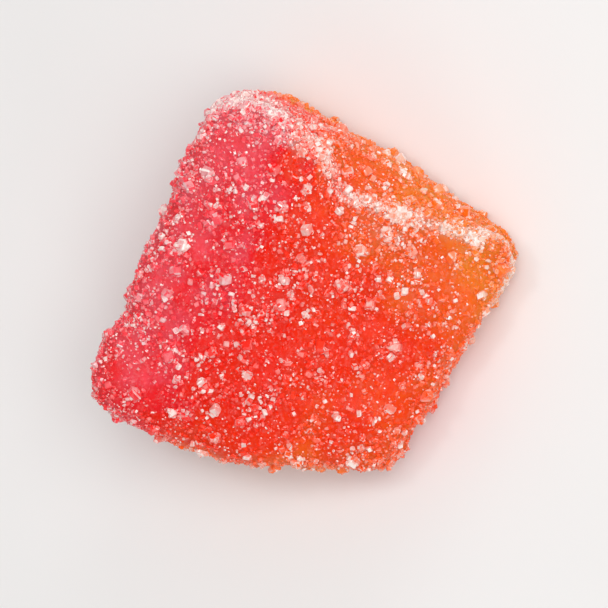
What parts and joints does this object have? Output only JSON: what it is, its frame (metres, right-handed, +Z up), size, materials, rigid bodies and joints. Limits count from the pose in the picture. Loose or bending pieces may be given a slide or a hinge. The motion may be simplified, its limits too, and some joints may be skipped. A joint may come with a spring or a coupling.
{
  "type": "sugared mango gummy sweet",
  "caption": "Soft rounded wedge of two-tone gummy, pink at the thick end and mango orange at the thin end, coated with sugar crystals and lying on one large face.",
  "frame": {"origin": "below the middle of the bare gel's bounding box, on the plane that the flattened underside rests on", "axes": "+X across the wide side of the wedge, +Y towards the thick pink end, -Y towards the thin orange end, +Z up"},
  "size_m": [0.0261, 0.0255, 0.0161],
  "materials": {
    "gel": "translucent soft gel, pink to red to orange, with a crust of white sugar crystals"
  },
  "bodies": {
    "root": {"gummy": "gel"}
  },
  "joints": []
}
